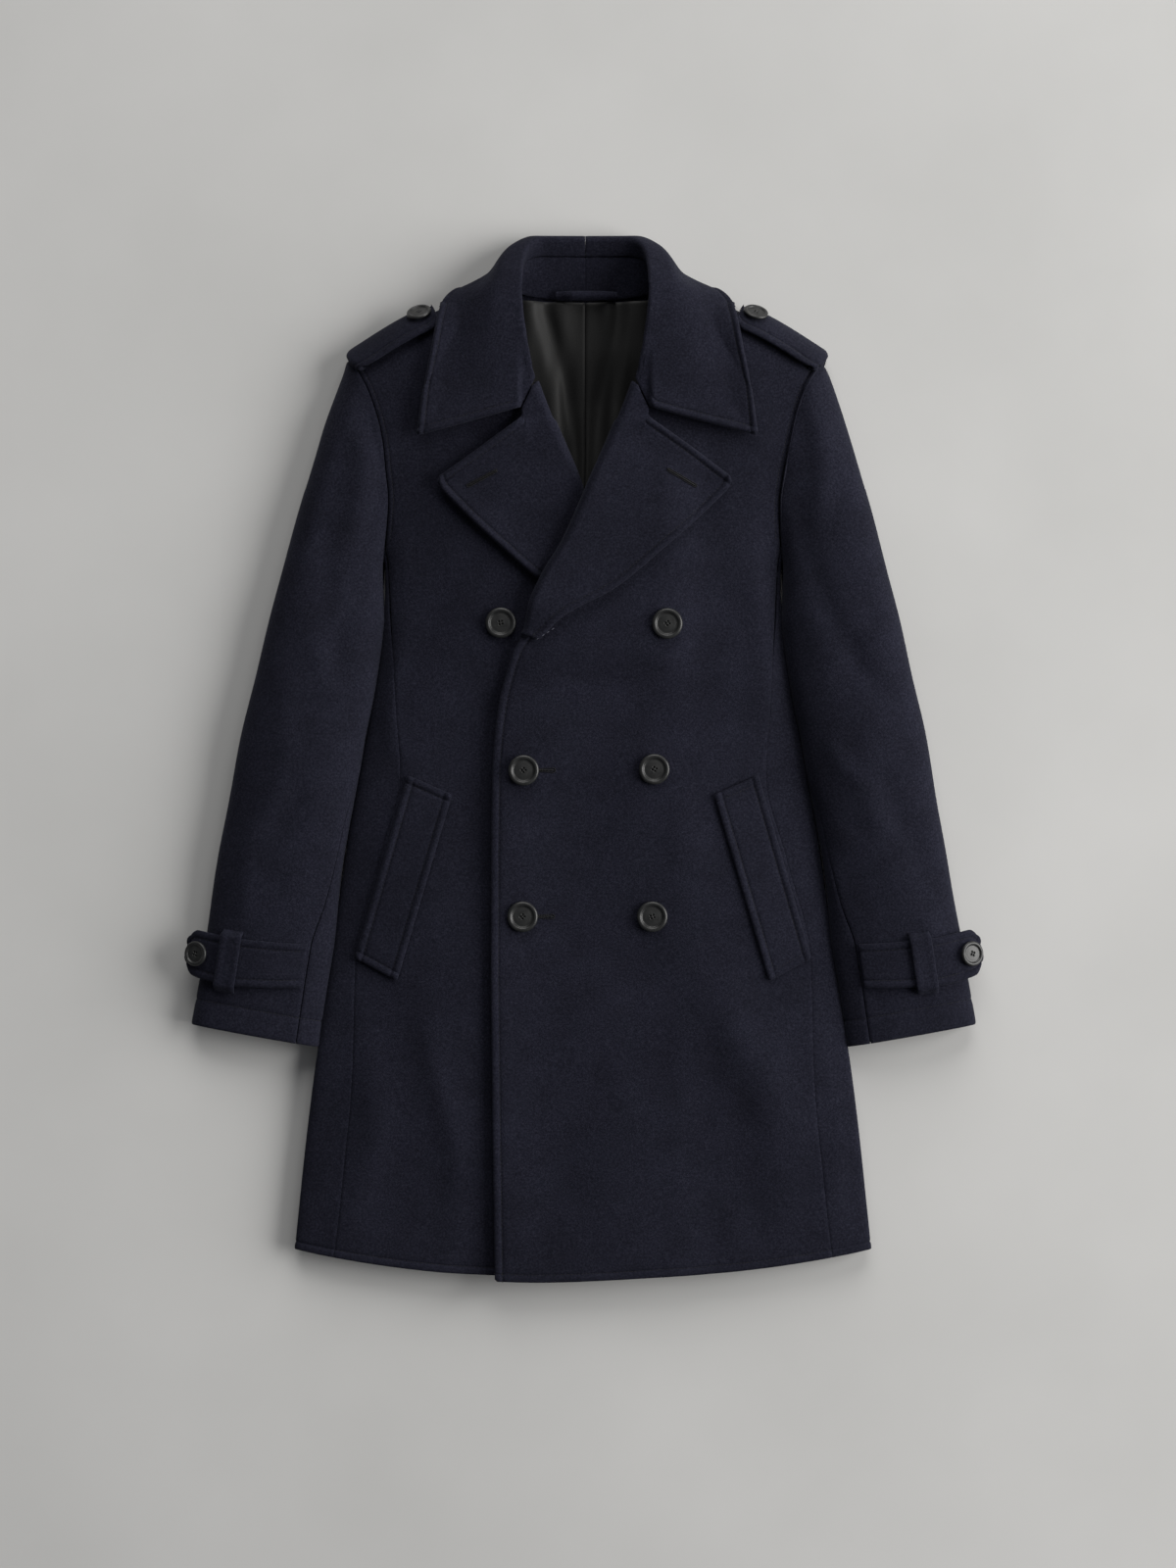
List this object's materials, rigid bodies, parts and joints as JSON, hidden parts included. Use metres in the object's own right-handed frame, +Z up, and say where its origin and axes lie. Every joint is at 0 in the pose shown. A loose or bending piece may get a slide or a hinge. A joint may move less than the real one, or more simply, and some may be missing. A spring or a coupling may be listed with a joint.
{
  "type": "double-breasted wool trench-style coat",
  "caption": "Buttoned double-breasted wool coat laid flat, with a broad collar and lapels, shoulder straps, slanted welt pockets and pointed cuff straps.",
  "frame": {"origin": "centre of the bounding box, on the surface that the coat lies on", "axes": "+Y from the hem towards the collar, +X towards the wearer's left sleeve, +Z up out of the front"},
  "size_m": [0.771, 1.0083, 0.0614],
  "materials": {
    "navy_melton": "matt felted navy wool melton",
    "charcoal_satin": "charcoal satin lining",
    "charcoal_horn": "half-gloss charcoal horn-look resin"
  },
  "bodies": {
    "root": {"back": "navy_melton", "hanger_loop": "navy_melton", "front_left": "navy_melton", "front_right": "navy_melton", "lapel_left": "navy_melton", "lapel_right": "navy_melton", "pocket_welt_left": "navy_melton", "pocket_welt_right": "navy_melton", "side_left": "navy_melton", "side_right": "navy_melton", "top_sleeve_left": "navy_melton", "top_sleeve_right": "navy_melton", "under_sleeve_left": "navy_melton", "under_sleeve_right": "navy_melton", "collar_fall_left": "navy_melton", "collar_fall_right": "navy_melton", "collar_stand_left": "navy_melton", "collar_stand_right": "navy_melton", "epaulette_left": "navy_melton", "epaulette_right": "navy_melton", "cuff_strap_left": "navy_melton", "cuff_strap_right": "navy_melton", "strap_keeper_left": "navy_melton", "strap_keeper_right": "navy_melton", "lining_left": "charcoal_satin", "shoulder_button_left": "charcoal_horn", "cuff_button_left": "charcoal_horn", "front_button_left_1": "charcoal_horn", "front_button_left_2": "charcoal_horn", "front_button_left_3": "charcoal_horn", "lining_right": "charcoal_satin", "shoulder_button_right": "charcoal_horn", "cuff_button_right": "charcoal_horn", "front_button_right_1": "charcoal_horn", "front_button_right_2": "charcoal_horn", "front_button_right_3": "charcoal_horn"}
  },
  "joints": []
}
